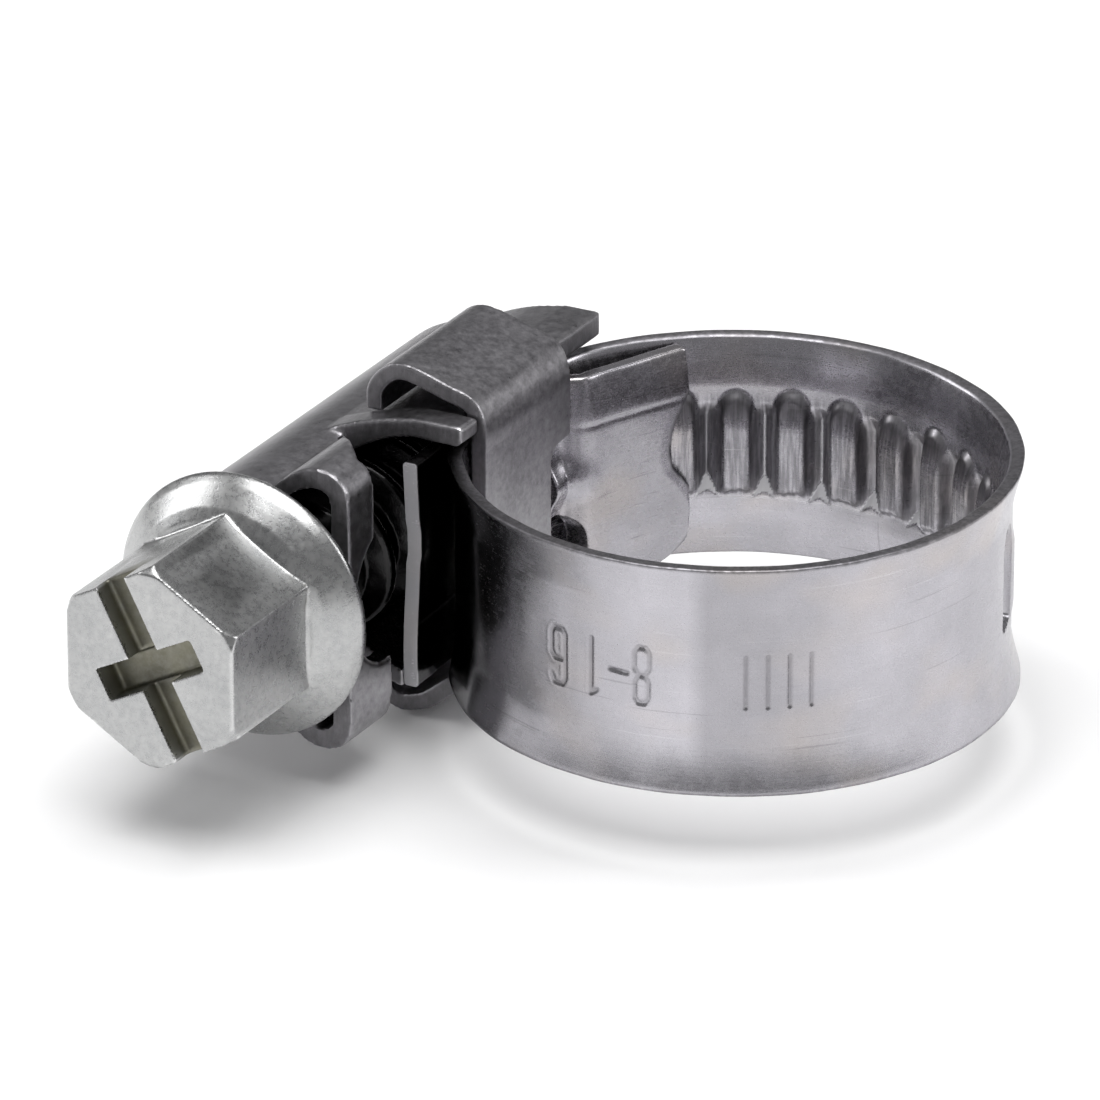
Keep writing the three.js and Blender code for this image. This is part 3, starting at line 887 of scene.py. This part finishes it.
for i in range(211):
    angle = 2 * math.pi * turns * i / 210
    y = COLLAR_Y + 1.4 + PITCH * turns * i / 210
    out = np.array([math.sin(angle), 0, math.cos(angle)])
    fade = min(1, (i + 4) / 16, (214 - i) / 16)
    crest = 3.24 * fade + 2.2 * (1 - fade)
    ring = []
    shape = [(2.1, 0.72), (crest - 0.12, 0.26), (crest, 0.12)]
    for r, dy in [(r, -dy) for r, dy in shape] + shape[::-1]:
        ring.append(np.array([SCREW_X, y + dy, MID_Z]) + out * r)
    helix.append(ring)
thread = scratch(*loft(helix))
slot_angle = math.radians(62)


def slot_box(length, width, depth, angle):
    """A cutter across the end face."""
    c, s = math.cos(angle), math.sin(angle)
    plan = []
    for i, j in [(-1, -1), (1, -1), (1, 1), (-1, 1)]:
        u, w = i * length / 2, j * width / 2
        plan.append((SCREW_X + u * c + w * s, MID_Z - u * s + w * c))
    return prism(plan, HEAD_Y - 1, HEAD_Y + depth)


slots = [
    slot_box(12, SLOT_WIDTH, SLOT_DEPTH, slot_angle),
    slot_box(4.5, CROSS_WIDTH, CROSS_DEPTH, slot_angle + math.pi / 2),
]
screw_made = fuse([head, flange, shank, thread], slots, voxel=0.065, smooth=2, keep=0.45)


def slot_dirt(v, n):
    """Dirt low in the two slots of the end face."""
    x = v[:, 0] - SCREW_X
    z = v[:, 2] - MID_Z
    c, s = math.cos(slot_angle), math.sin(slot_angle)
    along = x * c - z * s
    across = x * s + z * c
    in_slot = (np.abs(across) < 0.76) | ((np.abs(along) < 0.71) & (np.abs(across) < 2.4))
    deep = smoothstep(HEAD_Y + 0.12, HEAD_Y + 0.6, v[:, 1]) * (v[:, 1] < HEAD_Y + 1.6)
    inner = np.hypot(x, z) < 3.95
    return deep * in_slot * inner * 0.9


def dull_flats(v, n):
    """Painted shade in the middle of the flats on either side of the upper corner, where they face up."""
    up = smoothstep(0.93, 0.99, 0.5 * np.abs(n[:, 0]) + 0.866 * n[:, 2])
    middle = smoothstep(HEAD_Y + 0.2, HEAD_Y + 1.2, v[:, 1]) * (1 - smoothstep(-14.6, -13.7, v[:, 1]))
    return 0.8 * up * middle


def oiled(v, n):
    """Oil and painted shade from the neck back, thinner at the rear end."""
    rear = 1 - 0.7 * smoothstep(1.0, 4.6, v[:, 1])
    return 0.96 * smoothstep(FLANGE_BACK_Y + 0.1, COLLAR_Y + 0.2, v[:, 1]) * rear


piece(
    "screw_with_flanged_head",
    screw_made,
    "screw",
    "screw_zinc",
    ["screw"],
    zinc,
    grime=slot_dirt,
    haze=dull_flats,
    oil=oiled,
)


# ---- housing ----
def arc(cx, cz, r, a0, a1, steps):
    return [(cx + r * math.cos(a), cz + r * math.sin(a)) for a in np.radians(np.linspace(a0, a1, steps))]


def collar_loop(inset):
    wall, low_wall = 3.78 - inset, 3.83 - inset
    top, low_end, lobe = 5.45 - inset, 5.75 - inset, 1.35 - inset
    back_r = TUNNEL_R - inset
    x, z = SCREW_X, MID_Z
    loop = quadratic((x + wall, z + top - lobe), (x + wall, z + top), (x + 2.4, z + top))
    loop += quadratic((x + 2.4, z + top), (x + 1.5, z + top - 0.1), (x + 0.6, z + back_r - 0.06))
    loop += arc(x, z, back_r, 82, 278, 60)
    loop += quadratic((x + 0.6, z - back_r + 0.06), (x + 1.5, z - low_end + 0.1), (x + 2.4, z - low_end))
    loop += quadratic((x + 2.4, z - low_end), (x + low_wall, z - low_end), (x + low_wall, z - low_end + lobe))
    loop.append((x + low_wall, z - low_end + lobe))
    return loop


def collar_slant(y, reach):
    """A cutter's plan that slants the collar's rear end back from the ring side, which ends at y."""
    x = SCREW_X
    return [(x + 5, y), (x + reach, y), (x + 0.5, -6.3), (x + 0.5, -5), (x + 5, -5)]


collar = prism(collar_loop(0), COLLAR_Y, COLLAR_REAR_Y)
cuts = [
    prism(collar_loop(SHEET + 0.05), COLLAR_Y - 1, -5),
    prism(collar_slant(-9.25, 3.1), MID_Z, MID_Z + 8, "z"),
    prism(collar_slant(-8.15, 2.5), MID_Z - 8, MID_Z, "z"),
]
hollow = []
for x in (SCREW_X + 1.8, SCREW_X + 4.8):
    turn = np.linspace(0, 2 * math.pi, 48, endpoint=False)
    hollow.append([(x, -8.45 + 2.16 * math.cos(a), MID_Z - 0.2 + 2.7 * math.sin(a)) for a in turn])
cuts.append(scratch(*loft(hollow)))
for cutter in cuts:
    cut = collar.modifiers.new("cut", "BOOLEAN")
    cut.operation = "DIFFERENCE"
    cut.solver = "EXACT"
    cut.object = cutter
collar_made = scratch(*read(collar))
for obj in [collar, *cuts]:
    discard(obj)

tunnel = prism(
    arc(SCREW_X, MID_Z, TUNNEL_R, 84, 276, 64) + arc(SCREW_X, MID_Z, TUNNEL_R - SHEET, 276, 84, 64),
    COLLAR_Y,
    TUNNEL_REAR_Y,
)


def shoulder(end_x, rise, droop, from_y, to_y):
    """The sheet that runs out from the tunnel over the band's edge; its outer end hangs down by droop."""
    x, z = SCREW_X, MID_Z
    up = z + rise
    plan = quadratic((x - 0.4, z + TUNNEL_R - 0.04), (x + 1.0, up + 4.85), (x + 2.4, up + 5.2))
    plan += [(x + 2.4, up + 5.2), (x + 3.4, up + 5.42), (end_x - 0.12, up + 5.5), (end_x, up + 5.38)]
    plan += [(end_x, up + 4.95 - droop), (end_x - 0.25, up + 4.72 - droop), (x + 3.3, up + 4.66)]
    plan += quadratic((x + 3.3, up + 4.66), (x + 2.0, up + 4.4), (x + 0.9, z + 3.8))[1:]
    plan += [(x + 0.9, z + 3.8), (x - 0.4, z + 3.7)]
    return prism(plan, from_y, to_y)


shoulders = [
    shoulder(-8.1, 0.2, 0, COLLAR_REAR_Y, BRIDGE_FRONT_Y - 0.1),
    shoulder(-8.8, 0, 0, BRIDGE_FRONT_Y - 0.2, BRIDGE_REAR_Y + 0.2),
    shoulder(-8.7, 0.45, 0.35, BRIDGE_REAR_Y + 0.1, TUNNEL_REAR_Y),
]
x, z = SCREW_X, MID_Z
low_plan = [(x - 0.4, z - TUNNEL_R + 0.04), (x - 0.4, z - 3.7), (x + 0.9, z - 3.75)]
low_plan += quadratic((x + 0.9, z - 3.75), (x + 1.9, z - 4.3), (x + 2.9, z - 4.65))[1:]
low_plan += [(x + 2.9, z - 4.65), (x + 2.9, z - 5.35)]
low_plan += quadratic((x + 2.9, z - 5.35), (x + 1.4, z - 5.0), (x + 0.6, z - 4.4))[1:]
low_plan += [(x + 0.6, z - 4.4)]
lower_edge = prism(low_plan, COLLAR_REAR_Y, TUNNEL_REAR_Y)
housing_made = fuse([collar_made, tunnel, *shoulders, lower_edge], (), voxel=0.085, smooth=3, keep=0.45)


def end_cuts(v, n):
    """Sheared faces: those that look along the screw, and the shoulder's outer ends."""
    facing = smoothstep(0.75, 0.92, np.abs(n[:, 1]))
    outer = smoothstep(0.75, 0.92, n[:, 0]) * (v[:, 0] > SCREW_X + 4.3) * (v[:, 2] > MID_Z + 4)
    return np.maximum(facing, outer)


def housing_inside(v, n):
    """Oil and painted shade on the inner faces: those that look towards the screw."""
    x = v[:, 0] - SCREW_X
    z = v[:, 2] - MID_Z
    inward = smoothstep(0.15, 0.5, -(x * n[:, 0] + z * n[:, 2]) / np.hypot(x, z).clip(0.1))
    rear = 1 - 0.6 * smoothstep(1.0, TUNNEL_REAR_Y, v[:, 1])
    return 0.93 * inward * smoothstep(COLLAR_Y + 0.1, COLLAR_Y + 0.8, v[:, 1]) * rear


piece(
    "pressed_housing",
    housing_made,
    "housing_and_fixed_band",
    "housing_steel",
    ["housing"],
    pressed_steel,
    cut=end_cuts,
    oil=housing_inside,
)

# ---- bridge ----
leg = LEG_X - BRIDGE_SHEET / 2
upper = curve_through(
    [
        (SCREW_X + 1.0, MID_Z + 4.95),
        (SCREW_X + 1.05, MID_Z + 5.85),
        (SCREW_X + 1.75, MID_Z + 6.6),
        (SCREW_X + 2.6, MID_Z + 6.68),
        (SCREW_X + 4.0, MID_Z + 6.3),
        (LEG_X - 0.7, MID_Z + 5.98),
        (leg, MID_Z + 5.1),
        (leg, MID_Z + 4.2),
    ],
    60,
)
lower = curve_through(
    [
        (leg, MID_Z - 3.4),
        (leg, MID_Z - 4.45),
        (LEG_X - 0.78, MID_Z - 5.1),
        (-9.35, MID_Z - 5.5),
        (-10.25, MID_Z - 6.25),
        (-10.8, MID_Z - 6.54),
        (-11.7, MID_Z - 6.68),
        (-12.5, MID_Z - 6.0),
        (-12.65, MID_Z - 4.95),
    ],
    50,
)
line = np.concatenate([upper, np.array([(leg, z) for z in np.linspace(MID_Z + 3.6, MID_Z - 3, 12)]), lower])
_, tangent = walk(line)
across = np.stack([-tangent[:, 1], tangent[:, 0]], 1) * BRIDGE_SHEET / 2
section = [tuple(p) for p in np.concatenate([line + across, (line - across)[::-1]])]
strap = prism(section, BRIDGE_FRONT_Y, BRIDGE_REAR_Y)
notch = prism([(0.2, 0.6), (0.2, 6.6), (0.55, 7.0), (3, 7.3), (3, 0.6)], LEG_X - 1.2, LEG_X + 0.4, "x")
bridge_made = fuse([strap], [notch], voxel=0.06, smooth=3, keep=0.4)
piece("saddle_strap", bridge_made, "housing_and_fixed_band", "housing_steel", ["bridge"], pressed_steel,
      cut=lambda v, n: smoothstep(0.75, 0.92, np.abs(n[:, 1])))

# ---- stage ----
TARGET = row([(-5.85, -3.38, 4.86)])[0]
AZIMUTH = math.radians(30.0)
ELEVATION = math.radians(25.3)
DISTANCE = 0.4
PIXELS_PER_MM = 27.3


def plain(name, colour, rough):
    s = Shader(name)
    s.bsdf.inputs["Base Color"].default_value = (*colour, 1)
    s.bsdf.inputs["Roughness"].default_value = rough
    return s.material


def plane(name, centre, size, material):
    mesh = bpy.data.meshes.new(name)
    a = size / 2
    mesh.from_pydata([(-a, -a, 0), (a, -a, 0), (a, a, 0), (-a, a, 0)], [], [(0, 1, 2, 3)])
    obj = bpy.data.objects.new(name, mesh)
    obj.location = centre
    mesh.materials.append(material)
    bpy.context.scene.collection.objects.link(obj)


plane("floor", (0, 0, -0.0002), 6.0, plain("floor", (0.93, 0.93, 0.93), 0.9))


def softbox(name, azimuth, elevation, distance, size, power):
    """An area light that looks at the object from a direction."""
    a, e = math.radians(azimuth), math.radians(elevation)
    out = Vector((math.sin(a) * math.cos(e), -math.cos(a) * math.cos(e), math.sin(e)))
    lamp = bpy.data.lights.new(name, "AREA")
    lamp.shape = "RECTANGLE"
    lamp.size, lamp.size_y = size
    lamp.energy = power
    obj = bpy.data.objects.new(name, lamp)
    obj.location = Vector(TARGET) + out * distance
    obj.rotation_euler = out.to_track_quat("Z", "Y").to_euler()
    bpy.context.scene.collection.objects.link(obj)


softbox("overhead", 20, 80, 0.7, (0.6, 0.6), 4.6)
softbox("left", -75, 25, 0.6, (0.2, 0.4), 0.9)
softbox("right", 120, 22, 0.6, (0.2, 0.4), 0.9)
softbox("behind", 185, 66, 0.6, (0.4, 0.12), 0.5)

world = bpy.data.worlds.new("studio")
world.use_nodes = True
world.node_tree.nodes["Background"].inputs["Color"].default_value = (0.3, 0.3, 0.305, 1)
world.node_tree.nodes["Background"].inputs["Strength"].default_value = 0.8
bpy.context.scene.world = world

back_dir = np.array(
    [math.sin(AZIMUTH) * math.cos(ELEVATION), -math.cos(AZIMUTH) * math.cos(ELEVATION), math.sin(ELEVATION)]
)
right_dir = np.array([math.cos(AZIMUTH), math.sin(AZIMUTH), 0])
up_dir = np.cross(back_dir, right_dir)
lens = bpy.data.cameras.new("camera")
lens.sensor_width = 36
lens.lens = PIXELS_PER_MM * DISTANCE * 1000 / 1100 * 36
lens.clip_start = 0.01
lens.clip_end = 50
camera = bpy.data.objects.new("camera", lens)
pose = Matrix.Identity(4)
for i in range(3):
    pose[i][0], pose[i][1], pose[i][2] = right_dir[i], up_dir[i], back_dir[i]
    pose[i][3] = TARGET[i] + DISTANCE * back_dir[i]
camera.matrix_world = pose
bpy.context.scene.collection.objects.link(camera)
bpy.context.scene.camera = camera
bpy.context.scene.view_settings.view_transform = "Standard"
